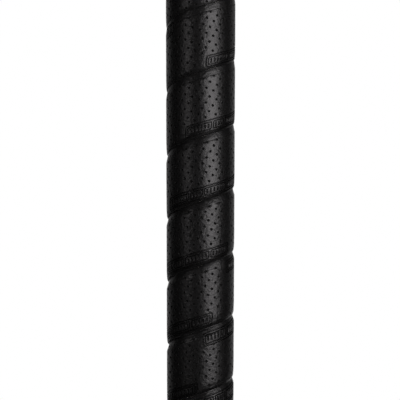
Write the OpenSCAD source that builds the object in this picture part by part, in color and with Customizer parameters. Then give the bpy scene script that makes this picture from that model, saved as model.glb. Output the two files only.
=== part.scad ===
// Spiral-wrapped golf grip, low taper.
// A tapered rubber underlisting with a straight shaft bore carries a felt-backed,
// perforated strip that is wound over it in a right-handed spiral. A moulded cap plugs
// the butt end and covers the strip's start, and a tape band and a rubber collar hold
// its end at the mouth.
//
// Frame: millimetres, origin at the centre of the mouth, +Z along the axis to the cap.
// The middle of the front, where the seams are counted from, faces -Y.

/* [Grip] */
// Overall length, mouth to the crown of the cap
grip_l = 268; // [240:1:290]
// Diameter over the wrap at the mouth end of the straight taper
wrap_d_mouth = 22.78; // [21.9:0.02:23.3]
// Growth in diameter for each 100 mm towards the cap
taper_per_100 = 0.9; // [0:0.01:1.1]
// Extra diameter of the flare under the cap
flare_d = 1.5; // [0:0.1:2.1]
// Length of the flare under the cap
flare_l = 46; // [30:1:60]

/* [Shaft bore] */
// Diameter of the bore that takes the shaft
bore_d = 14.74; // [14:0.02:15.4]

/* [Spiral strip] */
// Rise of the strip in one turn, at the reference seam
pitch = 22.05; // [18:0.05:26]
// Change of the rise, as a share for each turn towards the cap
pitch_gain = 0.0057; // [0:0.0001:0.01]
// Height of the reference seam at the front
seam_z0 = 131.3; // [120:0.1:142]
// Thickness of the perforated skin
skin_t = 1.0; // [0.9:0.05:1.2]
// Thickness of the felt backing
felt_t = 0.9; // [0.7:0.05:1.2]
// Width of the skived bevel along the strip's upper edge
bevel_w = 3.1; // [2:0.1:5]
// Depth of the bevel at the mouth end, where the turns sit tightest
bevel_drop_mouth = 0.75; // [0.2:0.05:0.8]
// Depth of the bevel at the cap end
bevel_drop_cap = 0.46; // [0.1:0.02:0.6]
// Width of the rolled lower edge of the strip
roll_w = 1.6; // [0.4:0.1:2.4]
// Depth of the roll at the seam
roll_drop = 0.4; // [0.1:0.05:0.6]

/* [Cap] */
// Outer diameter of the cap's flange
cap_d = 28.8; // [28.4:0.1:30]
// Thickness of the cap above the top of the underlisting
cap_t = 8.2; // [7:0.1:10]
// How far the cap's lip reaches down over the wrap
lip_l = 4.2; // [3:0.1:6]
// Depth of the cap's plug in the underlisting
plug_l = 8; // [6:0.5:12]
// Diameter of the plug
plug_d = 18; // [17.4:0.1:18.4]
// Diameter of the vent hole
vent_d = 3; // [2.4:0.1:4]

/* [Mouth] */
// Height of the collar
collar_l = 15; // [12:0.5:18]
// Thickness of the collar's lip over the wrap
collar_lip_t = 0.95; // [0.8:0.05:1.3]
// Length of bare underlisting that the collar is bonded to
seat_l = 6.5; // [5:0.5:8]
// Top of the finishing tape
tape_top = 19; // [18:0.5:24]

/* [Hidden] */
$fn = 96;

film_t = 0.12;                       // double-sided tape under the strip
fit = 0.03;                          // air between bonded layers
sleeve_top = grip_l - cap_t;         // top of the underlisting
wrap_top = sleeve_top - 0.5;         // upper end of the strip, inside the cap's lip
wrap_bot = seat_l + 0.3;             // lower end of the strip, inside the collar
seg = 40;                            // facets of the strip in each turn
edge_gap = 0.08;                     // gap between two turns of the strip
min_w = 0.9;                         // width at which the strip's tapered ends stop
seat_r = wrap_d_mouth / 2 - 2.05;    // bare underlisting under the collar

// Radius over the wrap at height z
function wrap_r(z) =
    wrap_d_mouth / 2 + (z - 12) * taper_per_100 / 200
    + flare_d / 2 * pow(max(0, z - (wrap_top - flare_l)) / flare_l, 2);
// The layers under it, from the outside in
function felt_r(z) = wrap_r(z) - skin_t - fit;
function film_r(z) = felt_r(z) - felt_t - fit - 0.02;
function sleeve_r(z) = film_r(z) - film_t - 0.02;

// Heights where the flare's curve is broken into short cones
flare_zs = [for (i = [0 : 8]) wrap_top - flare_l + flare_l * i / 8];

// Height of the seam, t turns round from the reference seam at the front
function seam_z(t) = seam_z0 + pitch * t + 0.5 * pitch * pitch_gain * t * t;
// Depth of the bevel at height z
function bevel_drop(z) =
    bevel_drop_mouth + (bevel_drop_cap - bevel_drop_mouth)
    * min(1, max(0, (z - 60) / 150));

// A ring of revolution from a list of [r, z] corners
module turned(pts) { rotate_extrude() polygon(pts); }

// Points on a quarter or smaller arc, centre c, radius r, from angle a to b
function arc(c, r, a, b, n = 6) =
    [for (i = [0 : n]) let (w = a + (b - a) * i / n) [c[0] + r * cos(w), c[1] + r * sin(w)]];

// --- the strip ---------------------------------------------------------------
// One cross-section of a layer of the strip, t turns round. The layer runs from
// radius function "skin" or "felt", and its ends are cut square to the axis.
function section(t, skin) =
    let (zl = max(seam_z(t) + edge_gap / 2, wrap_bot),
         zu = min(seam_z(t + 1) - edge_gap / 2, wrap_top),
         w = zu - zl,
         zbt = seam_z(t + 1) - bevel_w,
         zb = min(max(zbt, zl + 0.5 * w), zu - 0.15 * min(w, 2)),
         zc = zl + min(roll_w, 0.3 * w),
         drop = bevel_drop(zu) * max(0, min(1, (zu - zbt) / bevel_w)),
         dl = bevel_drop(zu) * max(0, min(1, (zc - zbt) / bevel_w)),
         db = bevel_drop(zu) * max(0, min(1, (zb - zbt) / bevel_w)))
    skin
    ? [[wrap_r(zl) - max(roll_drop, dl), zl], [wrap_r(zc) - dl, zc], [wrap_r(zb) - db, zb],
       [wrap_r(zu) - drop, zu], [felt_r(zu) + fit, zu], [felt_r(zl) + fit, zl]]
    : [[felt_r(zl), zl], [felt_r(zu), zu], [film_r(zu) + fit + 0.02, zu],
       [film_r(zl) + fit + 0.02, zl]];

// Steps of the spiral that are wide enough to keep
steps = [for (i = [-7 * seg : 8 * seg])
    let (t = i / seg,
         w = min(seam_z(t + 1) - edge_gap / 2, wrap_top) - max(seam_z(t) + edge_gap / 2, wrap_bot))
    if (w >= min_w) t];

module strip(skin) {
    n = skin ? 6 : 4;
    m = len(steps);
    pts = [for (t = steps) for (p = section(t, skin))
        [p[0] * cos(360 * t - 90), p[0] * sin(360 * t - 90), p[1]]];
    sides = [for (i = [0 : m - 2]) for (k = [0 : n - 1])
        let (a = i * n + k, b = i * n + (k + 1) % n, c = a + n, d = b + n)
        each [[a, b, d], [a, d, c]]];
    first = [for (k = [1 : n - 2]) [0, k + 1, k]];
    last = [for (k = [1 : n - 2]) let (o = (m - 1) * n) [o, o + k, o + k + 1]];
    polyhedron(points = pts, faces = concat(sides, first, last), convexity = 12);
}

// --- sub-parts ---------------------------------------------------------------
// Moulded rubber sleeve: shaft bore below, counterbore for the cap's plug above
module underlisting() {
    color([0.16, 0.16, 0.17])
    difference() {
        turned(concat(
            [[0, 0], [seat_r - 0.4, 0], [seat_r, 0.4], [seat_r, seat_l - 0.5],
             [sleeve_r(seat_l), seat_l]],
            [for (z = flare_zs) [sleeve_r(z), z]],
            [[sleeve_r(wrap_top), sleeve_top], [0, sleeve_top]]));
        translate([0, 0, -1]) cylinder(d = bore_d, h = grip_l);
        translate([0, 0, sleeve_top - plug_l]) cylinder(d = plug_d, h = plug_l + 1);
    }
}

// Double-sided film that bonds the strip to the underlisting
module double_sided_tape() {
    color([0.85, 0.84, 0.8])
    turned(concat(
        [[film_r(wrap_bot) - film_t, wrap_bot]],
        [[film_r(wrap_bot), wrap_bot]],
        [for (z = flare_zs) [film_r(z), z]],
        [for (i = [8 : -1 : 0]) [film_r(flare_zs[i]) - film_t, flare_zs[i]]]));
}

// Felt layer of the strip
module wrap_backing() { color([0.3, 0.3, 0.31]) strip(false); }

// Outer layer of the strip, skived along its upper edge
module wrap_skin() { color([0.05, 0.05, 0.052]) strip(true); }

// Tape band round the strip's lower end, partly under the collar
module finishing_tape() {
    lo = wrap_bot + 0.7;
    color([0.03, 0.03, 0.03])
    turned([[wrap_r(lo) + 0.03, lo], [wrap_r(lo) + 0.2, lo],
            [wrap_r(tape_top) + 0.2, tape_top], [wrap_r(tape_top) + 0.03, tape_top]]);
}

// Rubber ferrule at the mouth: bonded to the bare seat, its lip over the tape
module mouth_collar() {
    ri = wrap_r(collar_l) + 0.24;
    ro = ri + collar_lip_t;
    color([0.07, 0.07, 0.072])
    turned(concat(
        [[seat_r + 0.02, 0]],
        arc([seat_r + 1.35, 1.2], 1.2, -90, -20, 5),
        [[ro - 0.35, collar_l * 0.5], [ro, collar_l * 0.62]],
        arc([ro - 0.45, collar_l - 0.45], 0.45, 0, 90, 5),
        [[ri, collar_l], [ri, wrap_bot - 0.1], [seat_r + 0.02, wrap_bot - 0.1]]));
}

// Butt cap: plug in the counterbore, flange on the sleeve's end, lip over the strip
module butt_cap() {
    lr = wrap_r(wrap_top) + 0.08;        // inside of the lip
    fr = cap_d / 2;
    lz = wrap_top - lip_l;
    color([0.06, 0.06, 0.062])
    difference() {
        turned(concat(
            [[0, sleeve_top - plug_l + 0.02], [plug_d / 2 - 0.7, sleeve_top - plug_l + 0.02],
             [plug_d / 2 - 0.02, sleeve_top - plug_l + 0.7], [plug_d / 2 - 0.02, sleeve_top + 0.02],
             [lr, sleeve_top + 0.02], [lr, lz]],
            [[fr - 0.75, lz], [fr - 0.3, lz + 0.35]],
            [[fr, lz + 2.4], [fr, sleeve_top + 2.6]],
            arc([fr - 3.6, sleeve_top + 2.6], 3.6, 0, 68, 9),
            [[fr - 5.2, grip_l - 1.35], [9.4, grip_l - 0.75], [8.9, grip_l - 0.72],
             [8.6, grip_l - 1.25], [8.1, grip_l - 1.25], [7.8, grip_l - 0.6],
             [4.5, grip_l - 0.15], [2.6, grip_l], [0, grip_l]]));
        translate([0, 0, sleeve_top - plug_l - 1]) cylinder(d = vent_d, h = plug_l + cap_t + 2);
    }
}

underlisting();
double_sided_tape();
wrap_backing();
wrap_skin();
finishing_tape();
mouth_collar();
butt_cap();
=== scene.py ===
import math

import bmesh
import bpy
import numpy as np
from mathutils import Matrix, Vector
from mathutils.geometry import delaunay_2d_cdt


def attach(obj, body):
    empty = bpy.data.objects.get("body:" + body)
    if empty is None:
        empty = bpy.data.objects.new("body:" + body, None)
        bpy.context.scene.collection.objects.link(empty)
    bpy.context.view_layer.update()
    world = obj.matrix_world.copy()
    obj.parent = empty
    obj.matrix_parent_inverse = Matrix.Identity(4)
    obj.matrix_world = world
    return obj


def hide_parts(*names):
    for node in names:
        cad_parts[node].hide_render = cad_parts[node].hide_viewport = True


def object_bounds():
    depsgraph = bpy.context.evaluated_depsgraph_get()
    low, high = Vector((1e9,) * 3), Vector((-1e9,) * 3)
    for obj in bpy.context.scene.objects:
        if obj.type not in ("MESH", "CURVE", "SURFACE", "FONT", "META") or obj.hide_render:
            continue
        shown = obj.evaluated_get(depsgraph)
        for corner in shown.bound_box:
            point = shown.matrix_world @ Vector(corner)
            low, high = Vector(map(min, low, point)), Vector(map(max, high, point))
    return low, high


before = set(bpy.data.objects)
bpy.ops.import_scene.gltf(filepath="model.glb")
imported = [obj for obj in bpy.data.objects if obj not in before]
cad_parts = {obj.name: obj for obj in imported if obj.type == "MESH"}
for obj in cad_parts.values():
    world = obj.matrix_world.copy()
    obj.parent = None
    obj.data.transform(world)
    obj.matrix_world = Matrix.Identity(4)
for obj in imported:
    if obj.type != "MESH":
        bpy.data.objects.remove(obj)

MM = 0.001
cad_lo, cad_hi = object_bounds()
scene = bpy.context.scene

# ---------------------------------------------------------------- camera
# The picture's view: level with the middle of the grip, tilted up by a degree.
TOP = cad_hi.z                       # crown of the cap
CAM_Z = 0.1236
cam_data = bpy.data.cameras.new("camera")
cam_data.sensor_width = 36.0
cam_data.lens = 36.0 * 1300.0 / 400.0
cam = bpy.data.objects.new("camera", cam_data)
scene.collection.objects.link(cam)
cam.location = (-0.000152, -0.455, CAM_Z)
cam.rotation_euler = (math.radians(90.0 + 1.058), -0.0009, 0.0)
cam_data.clip_start = 0.01
cam_data.clip_end = 50.0
scene.camera = cam
scene.view_settings.view_transform = "Standard"
scene.view_settings.look = "None"

# ---------------------------------------------------------------- strip geometry, as in the CAD model (mm)
GRIP_L, CAP_T = 268.0, 8.2
WRAP_D, TAPER = 22.78, 0.9
FLARE_D, FLARE_L = 1.5, 46.0
PITCH, GAIN, SEAM_Z0 = 22.05, 0.0057, 131.3
SKIN_T, FIT = 1.0, 0.03
WRAP_TOP, WRAP_BOT = GRIP_L - CAP_T - 0.5, 6.8


def wrap_r(z):
    return (WRAP_D / 2 + (z - 12.0) * TAPER / 200.0
            + FLARE_D / 2 * (np.maximum(0.0, z - (WRAP_TOP - FLARE_L)) / FLARE_L) ** 2)


def seam_z(t):
    return SEAM_Z0 + PITCH * t + 0.5 * PITCH * GAIN * t * t


def seam_dz(t):
    return PITCH + PITCH * GAIN * t


# Length along the strip's lower edge against turns
_T = np.linspace(-8.0, 9.0, 34001)
_ds = np.sqrt((2 * np.pi * wrap_r(seam_z(_T))) ** 2 + seam_dz(_T) ** 2)
_S = np.concatenate([[0.0], np.cumsum(0.5 * (_ds[1:] + _ds[:-1]) * (_T[1] - _T[0]))])
_S -= np.interp(0.0, _T, _S)

# The perforations' columns: where some of them fall along the strip, and their spacing there.
# The strip is stretched a little unevenly as it is wound.
COL_N = np.array([0.0, 20.0, 39.0, 60.0, 80.0, 100.0])
COL_S = np.array([-229.481, -152.145, -77.634, 3.222, 80.259, 158.077])
COL_P = np.array([3.80, 3.845, 3.909, 3.916, 3.917, 3.93])
ROW_SHIFT = np.array([-0.62, 0.02, 0.17, -0.11, 0.0, -0.12])
LEAN = -0.067                        # the columns lean back a little


def col_s(n):
    """Length along the strip at column n (cubic between the known columns)."""
    n = np.asarray(n, float)
    k = np.clip(np.searchsorted(COL_N, n) - 1, 0, len(COL_N) - 2)
    n0, n1, s0, s1 = COL_N[k], COL_N[k + 1], COL_S[k], COL_S[k + 1]
    m0, m1 = COL_P[k], COL_P[k + 1]
    h = n1 - n0
    u = (n - n0) / h
    uc = np.clip(u, 0.0, 1.0)
    val = ((2 * uc ** 3 - 3 * uc ** 2 + 1) * s0 + (uc ** 3 - 2 * uc ** 2 + uc) * h * m0
           + (-2 * uc ** 3 + 3 * uc ** 2) * s1 + (uc ** 3 - uc ** 2) * h * m1)
    over = (u - uc) * h
    return val + over * 3.89


def soft_noise(a, b):
    """Slow unevenness of a hand-wound strip, about -1 to 1. a runs along the strip, b up the grip, in mm."""
    f = 0.0
    for (ka, kb, ph, w) in ((0.231, 0.117, 0.3, 1.0), (-0.172, 0.291, 1.9, 0.9), (0.407, -0.243, 4.1, 0.6),
                            (0.083, 0.449, 2.7, 0.7), (-0.533, -0.139, 5.2, 0.45), (0.311, 0.613, 0.9, 0.4)):
        f = f + w * np.sin(ka * a + kb * b + ph)
    return f / 4.05


ROLL_W, ROLL_H = 0.8, 0.37           # rounding of the strip's lower edge


def crease_t(W):
    return np.maximum(W - 2.9, 18.02)


def base_drop(t, W, z, s):
    """How far the finished surface lies below the full radius: each turn is a little crowned, rolls over
    at its lower edge and is skived along its upper edge. The turns sit tighter towards the mouth."""
    tight = 0.26 + 0.46 * np.clip((205.0 - z) / 100.0, 0.0, 1.0)
    steep = 0.30 + 0.70 * np.clip((198.0 - z) / 108.0, 0.0, 1.0)
    steep = steep + 0.16 * np.exp(-((z - 133.0) / 13.0) ** 2) + 0.05 * np.exp(-((z - 159.0) / 10.0) ** 2)
    e = np.clip(1.0 - t / ROLL_W, 0.0, 1.0)
    low = tight * ROLL_H * (1.0 - np.sqrt(np.clip(1.0 - e * e, 0.0, 1.0)))
    low = low + 0.105 * np.clip(1.0 - t / 6.0, 0.0, 1.0) ** 2 + 0.08 * np.clip(1.0 - t / 3.0, 0.0, 1.0) ** 2
    x = np.clip(t - crease_t(W), 0.0, None)           # past the crease
    y = np.clip(1.0 - (W - t) / 0.9, 0.0, 1.0)        # close to the seam
    x = np.sqrt(x * x + 0.12 * 0.12) - 0.12
    high = 0.29 * x + 0.12 * (1.0 - np.exp(-x / 0.65)) + 0.11 * y * y
    d = np.minimum(low + steep * high, 0.93)
    return d + 0.04 * (1.0 - soft_noise(s, z)) * 0.5


def strip_point(j, t, depth=0.0, inner=False):
    """The point at quarter-column j and t mm across the strip, depth mm under the surface, as x, y, z in mm."""
    j, t = np.asarray(j, float), np.asarray(t, float)
    s = col_s(j / 4.0)
    shift = np.interp(j / 4.0, COL_N, ROW_SHIFT)
    w = np.clip((t - 0.3) / 2.0, 0.0, 1.0) * np.clip((17.95 - t) / 1.6, 0.0, 1.0)
    t = t + shift * w
    s = s + LEAN * t
    t0 = np.interp(s, _S, _T)
    R = wrap_r(seam_z(t0))
    al = np.arctan(seam_dz(t0) / (2 * np.pi * R))
    W = seam_dz(t0) * np.cos(al)
    t = np.where(t > 100.0, W - (t - 200.0), t)       # t above 100 counts back from the upper edge: 200 is the edge itself
    v = t / W
    # two turns keep a hair's breadth apart
    v = 0.003 + v * (1.0 - 0.006)
    tau = t0 - v * W * np.sin(al) / (2 * np.pi * R)
    z = seam_z(tau) + v * (seam_z(tau + 1.0) - seam_z(tau))
    r = wrap_r(z)
    if inner:
        r = r - SKIN_T + 0.0
    else:
        r = r - base_drop(t, W, z, s) - depth
    a = 2 * np.pi * tau - np.pi / 2
    return np.stack([r * np.cos(a), r * np.sin(a), z], -1)


def from_top(x):
    return 200.0 + x


def normals_at(j, t):
    e = 0.02
    top = np.asarray(t, float) > 100.0
    sg = np.where(top, -1.0, 1.0)
    pj = strip_point(j + e, t) - strip_point(j - e, t)
    pt = (strip_point(j, t + e) - strip_point(j, t - e)) * sg[..., None]
    n = np.cross(pj, pt)
    return n / np.linalg.norm(n, axis=-1, keepdims=True)


# rows of perforations and the levels between them
ROWS = 12
ROW_T = [1.1 + 1.6 * r for r in range(ROWS)]
LEVELS = [0.0, 0.03, 0.1, 0.19, 0.3] + [1.9 + 1.6 * r for r in range(ROWS - 1)]  # lower edge, then row boundaries
N_B0 = 4                              # index of the first row boundary
LV_B = [N_B0 + r for r in range(ROWS)] + [N_B0 + ROWS + 1]                    # b0 .. b12; the crease runs through the last row
N_OUT_PLAIN = len(LEVELS)
# levels of the bevel are set from the width at each column
J_MIN, J_MAX = -272, 748


def level_t(j):
    """t of every outer level at quarter-column j; the last six follow the strip's width."""
    s = col_s(j / 4.0) + LEAN * 19.0
    t0 = np.interp(s, _S, _T)
    R = wrap_r(seam_z(t0))
    W = seam_dz(t0) * np.cos(np.arctan(seam_dz(t0) / (2 * np.pi * R)))
    tc = crease_t(W)
    low = [np.full_like(tc, x) for x in LEVELS]
    tl = np.minimum(19.5, W - 0.78)
    return np.stack(low + [tc, tl, 0.5 * (tl + W - 0.5), W - 0.5, W - 0.18, W - 0.0005], -1), W


def build_skin():
    js = np.arange(J_MIN, J_MAX + 1)
    lt, W = level_t(js.astype(float))
    nl = lt.shape[1]
    jj = np.repeat(js[:, None].astype(float), nl, 1)
    P = strip_point(jj, lt)
    N = normals_at(jj, lt)
    inner_t = np.stack([np.zeros_like(W), W * 0.5, W - 0.0005], -1)
    PI = strip_point(np.repeat(js[:, None].astype(float), 3, 1), inner_t, inner=True)
    verts = [P.reshape(-1, 3), PI.reshape(-1, 3)]
    norms = [N.reshape(-1, 3), np.zeros((len(js) * 3, 3))]
    # distance from the strip's two edges, for the finish
    cross = [np.stack([lt, W[:, None] - lt], -1).reshape(-1, 2), np.full((len(js) * 3, 2), 9.0)]
    count = [len(js) * nl + len(js) * 3]

    def gid(j, l):
        return (j - J_MIN) * nl + l

    def iid(j, l):
        return len(js) * nl + (j - J_MIN) * 3 + l

    def add(p, n, J_, T_):
        base = count[0]
        verts.append(p.reshape(-1, 3))
        norms.append(n.reshape(-1, 3))
        cross.append(np.stack([T_, np.interp(J_, js, W) - T_], -1).reshape(-1, 2))
        count[0] += p.reshape(-1, 3).shape[0]
        return base

    faces, kinds = [], []               # kinds: 0 surface, 1 hole wall, 2 hole floor, 3 cut edge and underside, 4 bevel, 5 ornament

    def face(f, k):
        faces.append(f)
        kinds.append(k)

    # --- where the ornament panels lie
    lower, upper = {}, {}               # quarter-column -> the panel's first one
    cols = np.arange(J_MIN, J_MAX + 1) / 4.0
    s_of = col_s(cols)
    UNIT, UNITS = 6, 6
    # the presses weren't set down quite evenly; in turns
    uneven = {"lower": {-1: 0.014, -2: 0.040}, "upper": {-1: -0.012, -2: -0.035}}
    for m in range(-8, 9):
        for (kind, store, dt, v, lean_t) in (("lower", lower, -0.010, 0.12, 2.6), ("upper", upper, 0.5070, 0.85, 17.9)):
            tau = -1.2806 + 1.1014 * m + dt + uneven[kind].get(m, 0.0)
            if not -6.9 < tau < 6.6:
                continue
            R = float(wrap_r(seam_z(tau)))
            al = math.atan(seam_dz(tau) / (2 * math.pi * R))
            t0 = tau + v * seam_dz(tau) * math.cos(al) * math.sin(al) / (2 * math.pi * R)
            s = float(np.interp(t0, _T, _S)) - LEAN * lean_t
            j0 = int(round(4.0 * float(np.interp(s, s_of, cols))))
            if j0 - J_MIN < 3 or j0 + UNIT * UNITS > J_MAX - 3:
                continue
            for q in range(UNIT * UNITS):
                store[j0 + q] = j0

    # --- holes
    hole_cells = []
    taken = np.zeros((len(js), ROWS), bool)
    for r in range(ROWS):
        off = 2 * (r % 2)
        for jc in range(J_MIN + 8, J_MAX - 8):
            if (jc - off) % 4:
                continue
            span = [jc - 2, jc - 1, jc, jc + 1]
            if r <= 2 and any(q in lower for q in span):
                continue
            if r >= 9 and any(q in upper for q in span):
                continue
            zz = P[jc - J_MIN, LV_B[r], 2]
            if not (14.6 < zz < 255.4):
                continue
            hole_cells.append((r, jc))
            for q in span:
                taken[q - J_MIN, r] = True
    p_all = np.array(hole_cells)
    nh = len(p_all)
    for last in (False, True):
        # the last row has the crease running through its cells, so they have two corners more
        hc = p_all[(p_all[:, 0] == ROWS - 1) == last]
        m = 12 if last else 10
        n1 = len(hc)
        if last:
            ang = np.radians(np.array([210, 240, 270, 300, 330, 0, 30, 60, 90, 120, 150, 180], float))
        else:
            ang = np.radians(np.array([198, 234, 270, 306, 342, 18, 54, 90, 126, 162], float))
        tt = np.array(ROW_T)[hc[:, 0]]
        jc = hc[:, 1].astype(float)
        p_loc = (col_s(jc / 4 + 0.5) - col_s(jc / 4 - 0.5)) / 4.0
        # each punch mark is a little different
        h1 = np.sin(hc[:, 0] * 12.9898 + hc[:, 1] * 78.233) * 43758.5453
        h1 = h1 - np.floor(h1)
        h2 = np.sin(hc[:, 0] * 39.346 + hc[:, 1] * 11.135) * 24634.6345
        h2 = h2 - np.floor(h2)
        h3 = np.sin(hc[:, 0] * 73.156 + hc[:, 1] * 52.235) * 35731.3712
        h3 = h3 - np.floor(h3)
        size = (1.0 + 0.10 * (h1 - 0.5)) * (0.86 if last else 1.0)     # half closed by the skiving
        cx = 0.08 * (h2 - 0.5)
        cy = 0.08 * (h3 - 0.5)
        squeeze = 1.0 - 0.10 * h2           # pulled slightly oval
        rings = []
        half = (ang[0::2] + ang[1::2] + np.where(ang[1::2] < ang[0::2], 2 * np.pi, 0.0)) / 2
        for (rad, dep, srf, an) in ((0.50, 0.0, True, ang), (0.425, 0.065, False, ang), (0.40, 0.34 if last else 0.46, False, half)):
            x = (rad * size)[:, None] * np.cos(an)[None] + cx[:, None]
            y = (rad * size * squeeze)[:, None] * np.sin(an)[None] + cy[:, None]
            J = jc[:, None] + x / p_loc[:, None]
            T = tt[:, None] + y
            p = strip_point(J, T, dep)
            n = normals_at(J, T) if srf else np.zeros_like(p)
            base = add(p, n, J, T)
            rings.append(base + np.arange(n1 * len(an)).reshape(n1, len(an)))
        lo = np.array([LV_B[r] for r in hc[:, 0]])
        hi = np.array([LV_B[r + 1] for r in hc[:, 0]])
        c = hc[:, 1]
        B = [gid(c + d, lo) for d in (-2, -1, 0, 1, 2)]
        if last:
            B += [gid(c + 2, lo + 1)]
        B += [gid(c + d, hi) for d in (2, 1, 0, -1, -2)]
        if last:
            B += [gid(c - 2, lo + 1)]
        B = np.stack(B, -1)
        for (A, C, k) in ((B, rings[0], 0), (rings[0], rings[1], 1)):
            for i in range(m):
                i2 = (i + 1) % m
                for q in np.stack([A[:, i], A[:, i2], C[:, i2], C[:, i]], -1).tolist():
                    face(q, k)
        A, C = rings[1], rings[2]
        for i in range(m // 2):
            i2 = (i + 1) % (m // 2)
            for q in np.stack([A[:, 2 * i], A[:, 2 * i + 1], C[:, i]], -1).tolist():
                face(q, 1)
            for q in np.stack([A[:, 2 * i + 1], A[:, (2 * i + 2) % m], C[:, i2], C[:, i]], -1).tolist():
                face(q, 1)
        for q in rings[2].tolist():
            face(q, 2)

    # --- ornament: a long framed panel of slanted bars, the same in every run
    def slab(cx, a, h, k, cut, inset, n_long=0, n_side=0):
        """A slanted bar with clipped corners, pulled in by inset, counter-clockwise, as x, y in mm."""
        h1_ = h - inset
        a1 = a - inset * math.hypot(1.0, k)
        c = max(cut - 0.45 * inset, 0.06)
        f = math.hypot(1.0, k)
        corners = []
        for (sx, sy) in ((-1, -1), (1, -1), (1, 1), (-1, 1)):
            x0, y0 = cx + sx * a1 + k * sy * h1_, sy * h1_
            ax, ay = -sx * c, 0.0                        # along the long edge, away from the corner
            bx, by = -k * sy * c / f, -sy * c / f        # down the slanted edge
            pa, pb = (x0 + ax, y0 + ay), (x0 + bx, y0 + by)
            corners.append((pb, pa) if sx * sy > 0 else (pa, pb))
        out = []
        for i in range(4):
            (p1, p2), (q1, _) = corners[i], corners[(i + 1) % 4]
            out += [p1, p2]
            n = n_long if i % 2 == 0 else n_side
            for m_ in range(1, n + 1):
                w = m_ / (n + 1)
                out.append((p2[0] + (q1[0] - p2[0]) * w, p2[1] + (q1[1] - p2[1]) * w))
        return np.array(out)

    SPAN = UNIT * UNITS
    K = 0.42
    panel_cache = {}

    def panel_shapes(half, y_mid):
        """Loops of the panel: (points, depth)."""
        loops = []
        hl = half - 0.35 - K * 2.0
        for (inset, dep) in ((0.0, 0.0), (0.15, 0.32), (0.36, 0.32), (0.51, 0.0)):
            loops.append((slab(0.0, hl, 2.10, K, 0.6, inset, 34, 2), dep))
        # compartments of two lengths, each with a sunk outline and a row of short slanted cuts
        inner = 2 * hl - 1.3
        share = (0.30, 0.16, 0.30, 0.24)
        x0 = -inner / 2
        for w_ in share:
            a_ = inner * w_ / 2 - 0.16
            cx = x0 + inner * w_ / 2
            x0 += inner * w_
            for (inset, dep) in ((0.0, 0.0), (0.15, 0.28), (0.29, 0.28), (0.44, 0.0)):
                loops.append((slab(cx, a_, 1.38, K, 0.42, inset, max(3, int(a_ * 2.2)), 2), dep))
            room = a_ - 0.44 * math.hypot(1.0, K) - 0.10
            cuts = max(1, int(round(room * 2 / 1.35)))
            for q_ in range(cuts):
                cq = cx + (q_ + 0.5 - cuts / 2) * (2 * room / cuts)
                for (inset, dep) in ((0.0, 0.0), (0.26, 0.26)):
                    loops.append((slab(cq, 0.38, 0.76, K, 0.17, inset, 0, 1), dep))
        return [(pts + np.array([0.0, y_mid]), dep) for (pts, dep) in loops]

    def panel(j0, which):
        i0 = j0 - J_MIN
        la, lb = (LV_B[0], LV_B[3]) if which == "lower" else (LV_B[9], nl - 3)
        jm = j0 + SPAN / 2.0
        im = i0 + SPAN // 2
        ta, tb = float(lt[im, la]), float(lt[im, lb])
        tm = (ta + tb) / 2 if which == "lower" else tb - 0.70 - 2.08
        p_l = float(col_s(jm / 4 + 2.0) - col_s(jm / 4 - 2.0)) / 16.0
        ids, co = [], []
        for q in range(SPAN + 1):
            ids.append(gid(j0 + q, la)); co.append(((q - SPAN / 2) * p_l, ta - tm))
        for l in range(la + 1, lb):
            ids.append(gid(j0 + SPAN, l)); co.append((SPAN / 2 * p_l, float(lt[i0 + SPAN, l]) - tm))
        for q in range(SPAN, -1, -1):
            ids.append(gid(j0 + q, lb)); co.append(((q - SPAN / 2) * p_l, tb - tm))
        for l in range(lb - 1, la, -1):
            ids.append(gid(j0, l)); co.append((-SPAN / 2 * p_l, float(lt[i0, l]) - tm))
        nb = len(ids)
        edges = [(i, (i + 1) % nb) for i in range(nb)]
        depth = [0.0] * nb
        segs = []
        for (pts, dep) in panel_shapes(SPAN / 2 * p_l, 0.0):
            o = len(co)
            n = len(pts)
            co += [tuple(q) for q in pts.tolist()]
            depth += [dep] * n
            edges += [(o + i, o + (i + 1) % n) for i in range(n)]
            segs.append(pts)
        allp = np.array(co)
        for q in range(1, SPAN):
            for y in np.arange(ta - tm + 0.4, tb - tm - 0.3, 0.8):
                x = (q - SPAN / 2) * p_l
                if np.min(np.hypot(allp[:, 0] - x, allp[:, 1] - y)) > 0.30:
                    co.append((x, float(y)))
                    depth.append(-1.0)                   # set from its neighbours below
        vo, _, fo, ov, _, _ = delaunay_2d_cdt([Vector(c) for c in co], edges, [], 1, 1e-5)
        src = [o[0] if len(o) else -1 for o in ov]
        assert min(src) >= 0, "panel lines cross"
        dep = np.array([depth[k] for k in src])
        xy = np.array([[v.x, v.y] for v in vo])
        # free points: the depth of the region that they lie in
        nbr = {}
        for f in fo:
            for a_ in f:
                nbr.setdefault(a_, set()).update(f)
        for i in np.nonzero(dep < 0)[0]:
            near = [dep[k] for k in nbr.get(int(i), ()) if dep[k] >= 0]
            dep[i] = min(near) if near else 0.0
        new = [i for i in range(len(src)) if src[i] >= nb]
        J = jm + xy[new, 0] / p_l
        T = tm + xy[new, 1]
        P_ = strip_point(J, T, dep[new])
        N_ = normals_at(J, T)
        base = add(P_, N_, J, T)
        where = {}
        for i, k in enumerate(src):
            if k < nb:
                where[i] = ids[k]
        for n_, i in enumerate(new):
            where[i] = base + n_
        for f in fo:
            f = list(f)
            d_ = [dep[k] for k in f]
            a2 = ((xy[f[1], 0] - xy[f[0], 0]) * (xy[f[2], 1] - xy[f[0], 1])
                  - (xy[f[2], 0] - xy[f[0], 0]) * (xy[f[1], 1] - xy[f[0], 1]))
            if a2 < 0:
                f = f[::-1]
            face([where[k] for k in f], 5 if max(d_) > 0.01 else 0)

    panel_done = set()
    for (store, which) in ((lower, "lower"), (upper, "upper")):
        for j0 in sorted(set(store.values())):
            panel(j0, which)
            panel_done.add((which, j0))

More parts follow.
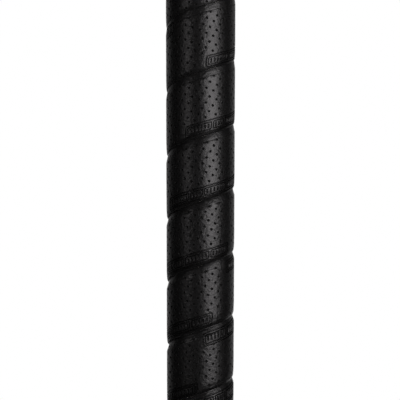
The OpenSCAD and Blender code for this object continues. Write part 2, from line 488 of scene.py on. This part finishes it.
    # --- plain quads
    for j in range(J_MIN, J_MAX):
        inl = j in lower and ("lower", lower[j]) in panel_done
        inu = j in upper and ("upper", upper[j]) in panel_done
        for l in range(nl - 1):
            if l >= LV_B[0] and l < LV_B[ROWS]:
                if taken[j - J_MIN, min(l - LV_B[0], ROWS - 1)]:
                    continue
            if inl and LV_B[0] <= l < LV_B[3]:
                continue
            if inu and LV_B[9] <= l < nl - 3:
                continue
            k = 0
            if l < N_B0:
                k = 3 if l == 0 else 0
            if l > LV_B[ROWS - 1]:
                k = 4
            face([gid(j, l), gid(j + 1, l), gid(j + 1, l + 1), gid(j, l + 1)], k)
        # cut edges and underside
        face([gid(j, nl - 1), gid(j + 1, nl - 1), iid(j + 1, 2), iid(j, 2)], 3)
        face([iid(j, 2), iid(j + 1, 2), iid(j + 1, 1), iid(j, 1)], 3)
        face([iid(j, 1), iid(j + 1, 1), iid(j + 1, 0), iid(j, 0)], 3)
        face([iid(j, 0), iid(j + 1, 0), gid(j + 1, 0), gid(j, 0)], 3)
    # close the two raw ends, which are trimmed off below
    for (j, flip) in ((J_MIN, False), (J_MAX, True)):
        loop = [gid(j, l) for l in range(nl)] + [iid(j, 2), iid(j, 1), iid(j, 0)]
        face(loop[::-1] if flip else loop, 3)

    V = np.concatenate(verts) * MM
    NN = np.concatenate(norms)
    CR = np.concatenate(cross)
    used = np.zeros(len(V), bool)
    for f in faces:
        for i in f:
            used[i] = True
    remap = np.cumsum(used) - 1
    V, NN, CR = V[used], NN[used], CR[used]
    faces = [[int(remap[i]) for i in f] for f in faces]

    me = bpy.data.meshes.new("wrap_skin_detail")
    me.from_pydata(V.tolist(), [], faces)
    kd = me.attributes.new("kind", "INT", "FACE")
    kd.data.foreach_set("value", np.array(kinds, dtype=np.int32))
    na = me.attributes.new("srf", "FLOAT_VECTOR", "POINT")
    na.data.foreach_set("vector", NN.ravel())
    for k_, name in enumerate(("low_mm", "top_mm")):
        ca = me.attributes.new(name, "FLOAT", "POINT")
        ca.data.foreach_set("value", np.ascontiguousarray(CR[:, k_], dtype=np.float32))
    bm = bmesh.new()
    bm.from_mesh(me)
    # trim square to the axis, inside the cap's lip and the collar
    for (z, n) in ((WRAP_TOP * MM, 1.0), (WRAP_BOT * MM, -1.0)):
        geom = bm.verts[:] + bm.edges[:] + bm.faces[:]
        bmesh.ops.bisect_plane(bm, geom=geom, dist=1e-7, plane_co=(0, 0, z), plane_no=(0, 0, n), clear_outer=True)
        open_edges = [e for e in bm.edges if e.is_boundary]
        res = bmesh.ops.holes_fill(bm, edges=open_edges, sides=0)
        lay = bm.faces.layers.int["kind"]
        for f in res["faces"]:
            f[lay] = 3
    bmesh.ops.triangulate(bm, faces=[f for f in bm.faces if len(f.verts) > 4])
    bm.to_mesh(me)
    bm.free()
    me.update()
    return me, nh


skin_me, n_holes = build_skin()
skin = bpy.data.objects.new("wrap_skin_detail", skin_me)
scene.collection.objects.link(skin)


def finish_normals(me):
    """True surface normals on the outer face, so that the light runs evenly round each perforation."""
    nf = len(me.polygons)
    kind = np.empty(nf, np.int32)
    me.attributes["kind"].data.foreach_get("value", kind)
    nv = len(me.vertices)
    srf = np.empty(nv * 3)
    me.attributes["srf"].data.foreach_get("vector", srf)
    srf = srf.reshape(-1, 3)
    nl = len(me.loops)
    lv = np.empty(nl, np.int32)
    me.loops.foreach_get("vertex_index", lv)
    start = np.empty(nf, np.int32)
    total = np.empty(nf, np.int32)
    me.polygons.foreach_get("loop_start", start)
    me.polygons.foreach_get("loop_total", total)
    lk = np.repeat(kind, total)
    me.polygons.foreach_set("use_smooth", np.ones(nf, bool))
    me.set_sharp_from_angle(angle=math.radians(38))
    ln = srf[lv].copy()
    keep = ((lk == 0) | (lk == 4)) & (np.linalg.norm(ln, axis=1) > 0.5)
    ln[~keep] = 0.0
    me.normals_split_custom_set(ln.tolist())


finish_normals(skin_me)
print("holes", n_holes, "triangles", sum(len(p.vertices) - 2 for p in skin_me.polygons))


# ---------------------------------------------------------------- materials
def new_mat(name):
    m = bpy.data.materials.new(name)
    m.use_nodes = True
    nt = m.node_tree
    nt.nodes.clear()
    out = nt.nodes.new("ShaderNodeOutputMaterial")
    b = nt.nodes.new("ShaderNodeBsdfPrincipled")
    nt.links.new(b.outputs["BSDF"], out.inputs["Surface"])
    return m, nt, b


def node(nt, kind, **props):
    n = nt.nodes.new(kind)
    for k, v in props.items():
        setattr(n, k, v)
    return n


def coords(nt, scale=(1.0, 1.0, 1.0)):
    tc = node(nt, "ShaderNodeTexCoord")
    mp = node(nt, "ShaderNodeMapping")
    mp.inputs["Scale"].default_value = scale
    nt.links.new(tc.outputs["Object"], mp.inputs["Vector"])
    return mp.outputs["Vector"]


def noise(nt, vec, scale, detail=3.0, rough=0.55, distortion=0.0):
    n = node(nt, "ShaderNodeTexNoise")
    n.inputs["Scale"].default_value = scale
    n.inputs["Detail"].default_value = detail
    n.inputs["Roughness"].default_value = rough
    n.inputs["Distortion"].default_value = distortion
    nt.links.new(vec, n.inputs["Vector"])
    return n.outputs["Fac"]


def ramp(nt, fac, stops, interp="LINEAR"):
    r = node(nt, "ShaderNodeValToRGB")
    r.color_ramp.interpolation = interp
    el = r.color_ramp.elements
    while len(el) < len(stops):
        el.new(0.5)
    for e, (p, c) in zip(el, stops):
        e.position = p
        e.color = (*c, 1.0) if isinstance(c, (tuple, list)) else (c, c, c, 1.0)
    nt.links.new(fac, r.inputs["Fac"])
    return r.outputs["Color"]


def math_node(nt, op, a, b=None, c=None):
    m = node(nt, "ShaderNodeMath", operation=op)
    for i, x in enumerate((a, b, c)):
        if x is None:
            continue
        if isinstance(x, (int, float)):
            m.inputs[i].default_value = x
        else:
            nt.links.new(x, m.inputs[i])
    return m.outputs[0]


def bump(nt, height, strength, distance, normal=None):
    b = node(nt, "ShaderNodeBump")
    b.inputs["Strength"].default_value = strength
    b.inputs["Distance"].default_value = distance
    nt.links.new(height, b.inputs["Height"])
    if normal is not None:
        nt.links.new(normal, b.inputs["Normal"])
    return b.outputs["Normal"]


def leather(name, dark, light, r0, r1, grain, pore):
    """Fine-grained black leather: pebbled cells, creases between them, uneven sheen."""
    m, nt, b = new_mat(name)
    v = coords(nt)
    cell = node(nt, "ShaderNodeTexVoronoi", feature="DISTANCE_TO_EDGE")
    cell.inputs["Scale"].default_value = pore
    cell.inputs["Randomness"].default_value = 0.95
    nt.links.new(v, cell.inputs["Vector"])
    edge = ramp(nt, cell.outputs["Distance"], [(0.0, 0.0), (0.18, 0.75), (0.5, 1.0)], "EASE")
    fine = noise(nt, v, 5200.0, 3.0, 0.6)
    broad = noise(nt, v, 240.0, 3.0, 0.55, 0.3)
    patch = noise(nt, v, 46.0, 2.0, 0.5)
    h = math_node(nt, "ADD", math_node(nt, "MULTIPLY", edge, 0.7), math_node(nt, "MULTIPLY", fine, 0.35))
    nrm = bump(nt, h, grain, 0.00003)
    pebble = noise(nt, v, 950.0, 2.0, 0.5, 0.2)
    nrm = bump(nt, pebble, 1.0, 0.00013, nrm)
    nrm = bump(nt, broad, grain * 0.5, 0.00008, nrm)
    # the score line of the skiving, a fine dent along the strip
    top = node(nt, "ShaderNodeAttribute", attribute_name="top_mm")
    wander = math_node(nt, "MULTIPLY_ADD", patch, 0.3, -0.15)
    away = math_node(nt, "ABSOLUTE", math_node(nt, "SUBTRACT", math_node(nt, "ADD", top.outputs["Fac"], wander), 2.1))
    dent = ramp(nt, away, [(0.0, 0.0), (0.42, 1.0), (1.0, 1.0)], "EASE")
    nrm = bump(nt, dent, 0.45, 0.00005, nrm)
    # the edge that is turned under pulls the grain down towards the seam
    low = node(nt, "ShaderNodeAttribute", attribute_name="low_mm")
    pull = ramp(nt, math_node(nt, "MULTIPLY", low.outputs["Fac"], 0.33), [(0.0, 0.0), (0.5, 0.66), (1.0, 1.0)], "EASE")
    nrm = bump(nt, pull, 1.0, 0.00020, nrm)
    nt.links.new(nrm, b.inputs["Normal"])
    col = ramp(nt, math_node(nt, "ADD", math_node(nt, "MULTIPLY", broad, 0.6), math_node(nt, "MULTIPLY", edge, 0.35)),
               [(0.25, dark), (0.85, light)])
    nt.links.new(col, b.inputs["Base Color"])
    rr = math_node(nt, "ADD", math_node(nt, "MULTIPLY", patch, 0.6), math_node(nt, "MULTIPLY", broad, 0.4))
    rough = ramp(nt, rr, [(0.3, r0), (0.7, r1)])
    nt.links.new(rough, b.inputs["Roughness"])
    b.inputs["IOR"].default_value = 1.5
    return m


m_leather = leather("black_leather", (0.0022, 0.0021, 0.0021), (0.0044, 0.0041, 0.0042), 0.335, 0.405, 0.22, 1900.0)
# the sunk ornament: rougher leather, plus a darker colour and a weaker specular level that are painted shade inside the
# grooves
m_pressed_shaded = leather("pressed_leather_shaded", (0.0016, 0.0015, 0.0015), (0.0032, 0.0030, 0.0031), 0.40, 0.50, 0.30, 2600.0)
m_pressed_shaded.node_tree.nodes["Principled BSDF"].inputs["Specular IOR Level"].default_value = 0.28


def fibre(name, dark, light, r0, r1, scale, depth, stretch=(1, 1, 1)):
    """Matted fibres: felt and raw leather edges."""
    m, nt, b = new_mat(name)
    v = coords(nt, stretch)
    f1 = noise(nt, v, scale, 6.0, 0.72, 1.2)
    f2 = noise(nt, v, scale * 0.21, 3.0, 0.6, 0.4)
    h = math_node(nt, "ADD", f1, math_node(nt, "MULTIPLY", f2, 0.6))
    nt.links.new(bump(nt, h, 0.8, depth), b.inputs["Normal"])
    nt.links.new(ramp(nt, h, [(0.45, dark), (1.05, light)]), b.inputs["Base Color"])
    nt.links.new(ramp(nt, f2, [(0.3, r0), (0.7, r1)]), b.inputs["Roughness"])
    return m


m_hole = fibre("perforation_wall", (0.002, 0.002, 0.002), (0.005, 0.0048, 0.0048), 0.75, 0.9, 3800.0, 0.00002)
m_pit = fibre("perforation_floor", (0.0012, 0.0012, 0.0012), (0.004, 0.0039, 0.004), 0.92, 1.0, 5200.0, 0.00003)
m_edge = fibre("cut_leather_edge", (0.0040, 0.0038, 0.0038), (0.010, 0.0094, 0.0092), 0.55, 0.75, 3000.0, 0.00002, (1, 1, 2.5))
m_felt = fibre("black_felt", (0.006, 0.006, 0.0065), (0.030, 0.030, 0.031), 0.9, 1.0, 2600.0, 0.00008)


def rubber(name, dark, light, r0, r1, grain=1500.0, depth=0.00002, rings=None):
    """Moulded rubber: fine spark-eroded texture, faint flow marks, a touch of bloom."""
    m, nt, b = new_mat(name)
    v = coords(nt)
    fine = noise(nt, v, grain, 5.0, 0.65)
    bloom = noise(nt, v, 95.0, 4.0, 0.6, 0.5)
    pits = node(nt, "ShaderNodeTexVoronoi", feature="F1")
    pits.inputs["Scale"].default_value = grain * 1.3
    nt.links.new(v, pits.inputs["Vector"])
    h = math_node(nt, "ADD", fine, math_node(nt, "MULTIPLY", pits.outputs["Distance"], 0.5))
    nrm = bump(nt, h, 0.45, depth)
    if rings:
        w = node(nt, "ShaderNodeTexWave", wave_type="RINGS", rings_direction="Z", wave_profile="SIN")
        w.inputs["Scale"].default_value = rings
        w.inputs["Distortion"].default_value = 0.4
        w.inputs["Detail"].default_value = 2.0
        nt.links.new(v, w.inputs["Vector"])
        nrm = bump(nt, w.outputs["Fac"], 0.12, 0.00003, nrm)
    nt.links.new(nrm, b.inputs["Normal"])
    nt.links.new(ramp(nt, bloom, [(0.3, dark), (0.75, light)]), b.inputs["Base Color"])
    nt.links.new(ramp(nt, math_node(nt, "ADD", math_node(nt, "MULTIPLY", bloom, 0.7), math_node(nt, "MULTIPLY", fine, 0.3)),
                      [(0.3, r0), (0.7, r1)]), b.inputs["Roughness"])
    return m


m_cap = rubber("cap_rubber", (0.0075, 0.0073, 0.0074), (0.016, 0.0156, 0.0158), 0.42, 0.56, rings=420.0)
m_collar = rubber("collar_rubber", (0.0075, 0.0073, 0.0074), (0.015, 0.0146, 0.0148), 0.40, 0.52)
m_sleeve = rubber("sleeve_rubber", (0.012, 0.012, 0.0125), (0.028, 0.028, 0.029), 0.62, 0.8, 1100.0, 0.00004)


def film(name, dark, light, r0, r1, creases=0.0003):
    """Tape: smooth film with stretch marks round the grip and a few fine wrinkles."""
    m, nt, b = new_mat(name)
    v = coords(nt, (0.35, 0.35, 3.0))
    lines = noise(nt, v, 260.0, 4.0, 0.6, 0.2)
    v2 = coords(nt)
    spots = noise(nt, v2, 700.0, 3.0, 0.6)
    h = math_node(nt, "ADD", lines, math_node(nt, "MULTIPLY", spots, 0.25))
    nt.links.new(bump(nt, h, 0.35, creases * 0.2), b.inputs["Normal"])
    nt.links.new(ramp(nt, h, [(0.35, dark), (0.9, light)]), b.inputs["Base Color"])
    nt.links.new(ramp(nt, lines, [(0.3, r0), (0.7, r1)]), b.inputs["Roughness"])
    return m


m_tape = film("black_tape", (0.006, 0.006, 0.0062), (0.012, 0.012, 0.0122), 0.22, 0.36)
m_film = film("tape_film", (0.52, 0.50, 0.44), (0.68, 0.66, 0.60), 0.45, 0.6)

# ---------------------------------------------------------------- the strip's skin
for mt in (m_leather, m_hole, m_pit, m_edge, m_pressed_shaded):
    skin_me.materials.append(mt)
_kind = np.empty(len(skin_me.polygons), np.int32)
skin_me.attributes["kind"].data.foreach_get("value", _kind)
_slot_of = np.array([0, 1, 2, 3, 0, 4], np.int32)
skin_me.polygons.foreach_set("material_index", _slot_of[_kind])
skin_me.update()
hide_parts("wrap_skin")
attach(skin, "root")


# ---------------------------------------------------------------- turned pieces
def lathe(name, prof, seg, mats, mat_of=None, radial=None, sharp=35.0):
    """A closed ring turned from a closed outline [(r, z)] in mm, counter-clockwise, with radial(angle, k) mm added to its radius."""
    n = len(prof)
    ang = np.arange(seg) * 2 * math.pi / seg
    r = np.array([p[0] for p in prof])
    z = np.array([p[1] for p in prof])
    rr = np.repeat(r[None, :], seg, 0)
    zz = np.repeat(z[None, :], seg, 0)
    if radial is not None:
        dr, dz = radial(ang[:, None], r[None, :], z[None, :])
        rr = rr + dr
        zz = zz + dz
    V = np.stack([rr * np.cos(ang)[:, None], rr * np.sin(ang)[:, None], zz], -1).reshape(-1, 3) * MM
    F = []
    for i in range(seg):
        i2 = (i + 1) % seg
        for k in range(n):
            k2 = (k + 1) % n
            F.append([i * n + k, i2 * n + k, i2 * n + k2, i * n + k2])
    me = bpy.data.meshes.new(name)
    me.from_pydata(V.tolist(), [], F)
    for m in mats:
        me.materials.append(m)
    if mat_of is not None:
        me.polygons.foreach_set("material_index", np.array([mat_of[f % n] for f in range(len(F))], np.int32))
    me.polygons.foreach_set("use_smooth", np.ones(len(F), bool))
    me.set_sharp_from_angle(angle=math.radians(sharp))
    me.update()
    ob = bpy.data.objects.new(name, me)
    scene.collection.objects.link(ob)
    return ob


def arc(cx, cz, r, a, b, n):
    return [(cx + r * math.cos(math.radians(a + (b - a) * i / n)), cz + r * math.sin(math.radians(a + (b - a) * i / n)))
            for i in range(n + 1)]


def line(p, q, n):
    """Points from p towards q, without p."""
    return [(p[0] + (q[0] - p[0]) * i / n, p[1] + (q[1] - p[1]) * i / n) for i in range(1, n + 1)]


def groove(z, r, width, depth, n=6):
    """A round-bottomed groove in an upright wall, going up."""
    out = []
    for i in range(n + 1):
        u = -1 + 2 * i / n
        out.append((r - depth * math.cos(u * math.pi / 2) ** 1.3 if abs(u) < 1 else r, z + u * width / 2))
    return out


CAP_D, LIP_L, PLUG_L, PLUG_D, VENT_D = 28.8, 4.2, 8.0, 18.0, 3.0
SLEEVE_TOP = GRIP_L - CAP_T
lr = float(wrap_r(WRAP_TOP)) + 0.08
fr = CAP_D / 2 - 0.02
lz = WRAP_TOP - LIP_L
vr = VENT_D / 2
cap_prof = []
cap_prof += [(vr, SLEEVE_TOP - PLUG_L + 0.35), (vr + 0.3, SLEEVE_TOP - PLUG_L + 0.04)]
cap_prof += [(PLUG_D / 2 - 0.75, SLEEVE_TOP - PLUG_L + 0.04), (PLUG_D / 2 - 0.05, SLEEVE_TOP - PLUG_L + 0.75)]
cap_prof += line((PLUG_D / 2 - 0.05, SLEEVE_TOP - PLUG_L + 0.75), (PLUG_D / 2 - 0.05, SLEEVE_TOP + 0.04), 4)
cap_prof += [(lr, SLEEVE_TOP + 0.04), (lr, lz + 0.25)]
cap_prof += [(lr + 0.12, lz + 0.06), (lr + 0.34, lz)]
cap_prof += arc(fr - 0.62, lz + 0.55, 0.55, -80, -8, 5)
cap_prof += groove(lz + 2.0, fr - 0.02, 0.7, 0.28)
WALL_LO, WALL_HI = lz + 2.75, SLEEVE_TOP + 1.35
cap_prof += [(fr, WALL_LO - 0.12)] + line((fr, WALL_LO - 0.12), (fr, WALL_HI + 0.12), 16)
cap_prof += groove(WALL_HI + 0.62, fr - 0.02, 0.7, 0.28)
cap_prof += arc(fr - 3.5, SLEEVE_TOP + 2.62, 3.5, 4, 72, 14)
top_a = cap_prof[-1]
cap_prof += line(top_a, (9.75, GRIP_L - 0.80), 3)
cap_prof += [(9.45, GRIP_L - 0.79), (9.2, GRIP_L - 0.95), (9.0, GRIP_L - 1.22), (8.75, GRIP_L - 1.36), (8.5, GRIP_L - 1.36),
             (8.25, GRIP_L - 1.22), (8.05, GRIP_L - 0.92), (7.8, GRIP_L - 0.72)]
cap_prof += line((7.8, GRIP_L - 0.72), (4.4, GRIP_L - 0.30), 4)
cap_prof += [(4.15, GRIP_L - 0.32), (3.95, GRIP_L - 0.42), (3.7, GRIP_L - 0.42), (3.5, GRIP_L - 0.28), (3.2, GRIP_L - 0.06),
             (2.9, GRIP_L - 0.01), (2.3, GRIP_L - 0.01), (1.95, GRIP_L - 0.06), (1.68, GRIP_L - 0.2), (vr + 0.03, GRIP_L - 0.45), (vr, GRIP_L - 0.8)]
cap_prof += line((vr, GRIP_L - 0.8), (vr, SLEEVE_TOP - PLUG_L + 0.35), 4)[:-1]


def cap_shape(a, r, z):
    """48 shallow flutes round the wall."""
    up = np.clip((z - WALL_LO) / 0.5, 0, 1) * np.clip((WALL_HI - z) / 0.5, 0, 1) * (r > 12.5)
    fl = 0.5 + 0.5 * np.cos(48 * a)
    dr = -0.26 * up * (1.0 - fl ** 0.6)
    return dr, np.zeros_like(dr)


cap = lathe("butt_cap_detail", cap_prof, 384, [m_cap], radial=cap_shape)
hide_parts("butt_cap")
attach(cap, "root")

# collar: moulded ferrule with three rings and a lip over the tape
COLLAR_L, LIP_T, SEAT_R = 15.0, 0.95, WRAP_D / 2 - 2.05
ri = float(wrap_r(COLLAR_L)) + 0.24
ro = ri + LIP_T
cz0 = WRAP_BOT - 0.1
col_prof = [(SEAT_R + 0.03, 0.3), (SEAT_R + 0.2, 0.08)]
col_prof += arc(SEAT_R + 1.35, 1.2, 1.18, -88, -18, 8)
p0 = col_prof[-1]
slope = ((ro - 0.38) - p0[0]) / (COLLAR_L * 0.5 - p0[1])


def on_cone(z):
    return p0[0] + slope * (z - p0[1])


z = p0[1]
for gz in (3.2, 4.6, 6.0):
    col_prof += line((on_cone(z), z), (on_cone(gz - 0.4), gz - 0.4), 3)
    for i in range(1, 8):
        u = -1 + 2 * i / 8
        zz_ = gz + u * 0.4
        col_prof.append((on_cone(zz_) - 0.24 * math.cos(u * math.pi / 2) ** 1.2, zz_))
    z = gz + 0.4
    col_prof.append((on_cone(z), z))
col_prof += line((on_cone(z), z), (ro - 0.38, COLLAR_L * 0.5), 2)
col_prof += line((ro - 0.38, COLLAR_L * 0.5), (ro - 0.05, COLLAR_L * 0.64), 5)
col_prof += line((ro - 0.05, COLLAR_L * 0.64), (ro - 0.02, COLLAR_L - 0.5), 6)
col_prof += arc(ro - 0.47, COLLAR_L - 0.47, 0.45, 8, 82, 6)
col_prof += [(ri + 0.12, COLLAR_L - 0.04), (ri, COLLAR_L - 0.2)]
col_prof += line((ri, COLLAR_L - 0.2), (ri, cz0), 3)
col_prof += [(SEAT_R + 0.03, cz0)]
col_prof += line((SEAT_R + 0.03, cz0), (SEAT_R + 0.03, 0.3), 3)[:-1]


def collar_shape(a, r, z):
    """36 short flutes below the lip's rim."""
    up = np.clip((z - 9.9) / 0.5, 0, 1) * np.clip((13.9 - z) / 0.5, 0, 1) * (r > ri + 0.3)
    fl = 0.5 + 0.5 * np.cos(36 * a)
    dr = -0.20 * up * (1.0 - fl ** 0.6)
    return dr, np.zeros_like(dr)


collar = lathe("mouth_collar_detail", col_prof, 288, [m_collar], radial=collar_shape)
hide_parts("mouth_collar")
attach(collar, "root")


# finishing tape: one layer and an overlap, wound tight, with its free end showing
def build_tape():
    lo, hi, th = WRAP_BOT + 0.7, 19.0, 0.085
    turns, seg = 1.06, 220
    zs = np.linspace(lo, hi, 26)
    V, F = [], []
    n = len(zs)
    for i in range(seg + 1):
        t = turns * i / seg
        a = 2 * math.pi * t + 0.4
        lift = th * min(1.0, max(0.0, (t - 0.975) / 0.03))
        skew = 0.12 * math.sin(2 * math.pi * t * 3 + 1.0) * 0.25
        for side in (0, 1):
            for k, zz in enumerate(zs):
                z_ = zz if k < n - 1 else zz - 0.12 * (0.5 + 0.5 * math.sin(a * 5 + 0.7)) + skew
                r_ = float(wrap_r(z_)) + 0.025 + lift * 1.05 + (th if side else 0.0)
                V.append((r_ * math.cos(a), r_ * math.sin(a), z_))
    per = 2 * n

    def q(i, side, k):
        return i * per + side * n + k

    for i in range(seg):
        for k in range(n - 1):
            F.append([q(i, 1, k), q(i + 1, 1, k), q(i + 1, 1, k + 1), q(i, 1, k + 1)])
            F.append([q(i, 0, k), q(i, 0, k + 1), q(i + 1, 0, k + 1), q(i + 1, 0, k)])
        F.append([q(i, 0, 0), q(i + 1, 0, 0), q(i + 1, 1, 0), q(i, 1, 0)])
        F.append([q(i, 1, n - 1), q(i + 1, 1, n - 1), q(i + 1, 0, n - 1), q(i, 0, n - 1)])
    for k in range(n - 1):
        F.append([q(0, 0, k), q(0, 1, k), q(0, 1, k + 1), q(0, 0, k + 1)])
        F.append([q(seg, 1, k), q(seg, 0, k), q(seg, 0, k + 1), q(seg, 1, k + 1)])
    me = bpy.data.meshes.new("finishing_tape_detail")
    me.from_pydata((np.array(V) * MM).tolist(), [], F)
    me.materials.append(m_tape)
    me.polygons.foreach_set("use_smooth", np.ones(len(F), bool))
    me.set_sharp_from_angle(angle=math.radians(35))
    me.update()
    ob = bpy.data.objects.new("finishing_tape_detail", me)
    scene.collection.objects.link(ob)
    return ob


tape = build_tape()
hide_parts("finishing_tape")
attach(tape, "root")

# ---------------------------------------------------------------- CAD nodes that stay
for name, mt in (("underlisting", m_sleeve), ("double_sided_tape", m_film), ("wrap_backing", m_felt)):
    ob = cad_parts[name]
    for s in ob.material_slots:
        s.material = mt

# ---------------------------------------------------------------- floor
def build_floor(radius, seg=96):
    """A large flat disc, pale round the grip, that runs out into the white of the backdrop."""
    bm = bmesh.new()
    prev = None
    for f in (0.0, 0.02, 0.06, 0.12, 0.25, 0.5, 1.0):
        if f == 0.0:
            ring = [bm.verts.new((0, 0, 0))]
        else:
            ring = [bm.verts.new((radius * f * math.cos(2 * math.pi * i / seg), radius * f * math.sin(2 * math.pi * i / seg), 0.0))
                    for i in range(seg)]
        if prev is not None:
            for i in range(seg):
                i2 = (i + 1) % seg
                if len(prev) == 1:
                    bm.faces.new((prev[0], ring[i], ring[i2]))
                else:
                    bm.faces.new((prev[i], ring[i], ring[i2], prev[i2]))
        prev = ring
    me = bpy.data.meshes.new("floor")
    bm.to_mesh(me)
    bm.free()
    m, nt, b = new_mat("pale_floor")
    v = coords(nt)
    nt.links.new(ramp(nt, noise(nt, v, 9.0, 2.0), [(0.3, (0.80, 0.80, 0.80)), (0.7, (0.84, 0.84, 0.84))]), b.inputs["Base Color"])
    b.inputs["Roughness"].default_value = 0.9
    # distance from the grip
    r = node(nt, "ShaderNodeVectorMath", operation="LENGTH")
    nt.links.new(v, r.inputs[0])
    glow = node(nt, "ShaderNodeEmission")
    glow.inputs["Color"].default_value = (1.0, 1.0, 1.0, 1.0)
    glow.inputs["Strength"].default_value = 1.0
    mix = node(nt, "ShaderNodeMixShader")
    nt.links.new(ramp(nt, r.outputs["Value"], [(0.0, 0.0), (0.12, 0.0), (0.28, 0.6), (0.45, 1.0)], "EASE"), mix.inputs["Fac"])
    nt.links.new(b.outputs["BSDF"], mix.inputs[1])
    nt.links.new(glow.outputs["Emission"], mix.inputs[2])
    out = next(n for n in nt.nodes if n.type == "OUTPUT_MATERIAL")
    nt.links.new(mix.outputs["Shader"], out.inputs["Surface"])
    me.materials.append(m)
    ob = bpy.data.objects.new("floor", me)
    scene.collection.objects.link(ob)
    return ob


floor = build_floor(12.0)
floor.visible_glossy = False         # the gloss on the grip comes from the studio, not from the floor


# ---------------------------------------------------------------- light
def softbox(name, az, el, dist, w, h, radiance, colour, target=(0.0, 0.0, 0.132), spread=180.0):
    """A rectangular soft light. az is from the camera's side, towards +X."""
    a, e = math.radians(az), math.radians(el)
    d = Vector((math.sin(a) * math.cos(e), -math.cos(a) * math.cos(e), math.sin(e)))
    L = bpy.data.lights.new(name, "AREA")
    L.shape = "RECTANGLE"
    L.size, L.size_y = w, h
    L.energy = radiance * math.pi * w * h
    L.color = colour
    L.spread = math.radians(spread)
    ob = bpy.data.objects.new(name, L)
    scene.collection.objects.link(ob)
    ob.location = Vector(target) + d * dist
    ob.rotation_mode = "QUATERNION"
    ob.rotation_quaternion = d.to_track_quat("Z", "Y")
    return ob


softbox("key_right", 38.0, 7.2, 1.1, 0.773, 0.563, 4.95, (1.0, 0.965, 0.98))
softbox("fill_left", -43.4, 8.3, 1.2, 0.401, 0.1, 6.2, (1.0, 0.955, 0.97))

# an overhead bank that lights the floor only, so that it stays pale
bank = softbox("floor_bank", 0.0, 90.0, 2.2, 2.4, 2.4, 2.6, (1.0, 1.0, 1.0))
only_floor = bpy.data.collections.new("floor_only")
only_floor.objects.link(floor)
bank.light_linking.receiver_collection = only_floor

# soft boxes all round that light the cap and the mouth end only, from above and from the floor's side
only_ends = bpy.data.collections.new("ends_only")
for ob in (cap, collar, tape):
    only_ends.objects.link(ob)
for q in range(4):
    for (nm, el, h, rad) in (("high", 36.0, 0.5, 0.55), ("low", -24.0, 0.5, 0.34)):
        sb = softbox("ends_%s_%d" % (nm, q), 45.0 + 90.0 * q, el, 1.2, 1.25, h, rad, (1.0, 1.0, 1.0))
        sb.light_linking.receiver_collection = only_ends
        sb.light_linking.blocker_collection = only_ends

world = bpy.data.worlds.new("studio")
world.use_nodes = True
scene.world = world
wn = world.node_tree
wn.nodes.clear()
w_out = node(wn, "ShaderNodeOutputWorld")
bg_seen = node(wn, "ShaderNodeBackground")
bg_seen.inputs["Color"].default_value = (1.0, 1.0, 1.0, 1.0)
bg_seen.inputs["Strength"].default_value = 1.0
bg_lit = node(wn, "ShaderNodeBackground")
w_tc = node(wn, "ShaderNodeTexCoord")
w_sep = node(wn, "ShaderNodeSeparateXYZ")
wn.links.new(w_tc.outputs["Generated"], w_sep.inputs["Vector"])
low_high = math_node(wn, "ABSOLUTE", w_sep.outputs["Z"])
level = ramp(wn, low_high, [(0.0, 1.0), (0.20, 1.0), (0.42, 0.25), (1.0, 0.25)], "LINEAR")
back = ramp(wn, math_node(wn, "MULTIPLY_ADD", w_sep.outputs["Y"], 0.5, 0.5),
            [(0.0, 0.014), (0.754, 0.014), (0.794, 0.31), (0.955, 0.31), (0.982, 1.3), (1.0, 1.3)], "LINEAR")
zz = math_node(wn, "MULTIPLY_ADD", w_sep.outputs["Z"], 0.5, 0.5)
above = ramp(wn, zz, [(0.0, 0.0), (0.86, 0.0), (0.95, 0.14), (1.0, 0.14)], "LINEAR")
below = ramp(wn, zz, [(0.0, 0.3), (0.08, 0.3), (0.16, 1.0), (0.30, 1.0), (0.38, 0.0)], "LINEAR")
depth = ramp(wn, math_node(wn, "MULTIPLY_ADD", w_sep.outputs["Y"], 0.5, 0.5),
             [(0.0, 0.0), (0.83, 0.0), (0.90, 0.88), (1.0, 0.88)], "LINEAR")
side = ramp(wn, math_node(wn, "MULTIPLY_ADD", w_sep.outputs["X"], 0.5, 0.5),
            [(0.0, 0.0), (0.10, 0.0), (0.22, 0.006), (0.42, 0.022), (1.0, 0.022)], "LINEAR")
updown = math_node(wn, "ADD", above, math_node(wn, "MULTIPLY", below, math_node(wn, "ADD", depth, side)))
left = ramp(wn, math_node(wn, "MULTIPLY_ADD", w_sep.outputs["X"], 0.5, 0.5),
            [(0.0, 0.86), (0.35, 0.86), (0.45, 1.0), (1.0, 1.0)], "LINEAR")
w_sum = math_node(wn, "ADD", math_node(wn, "MULTIPLY", math_node(wn, "MULTIPLY", back, left), level), updown)
wn.links.new(w_sum, bg_lit.inputs["Strength"])
bg_lit.inputs["Color"].default_value = (1.0, 0.985, 0.99, 1.0)
w_path = node(wn, "ShaderNodeLightPath")
w_mix = node(wn, "ShaderNodeMixShader")
wn.links.new(w_path.outputs["Is Camera Ray"], w_mix.inputs["Fac"])
wn.links.new(bg_lit.outputs["Background"], w_mix.inputs[1])
wn.links.new(bg_seen.outputs["Background"], w_mix.inputs[2])
wn.links.new(w_mix.outputs["Shader"], w_out.inputs["Surface"])
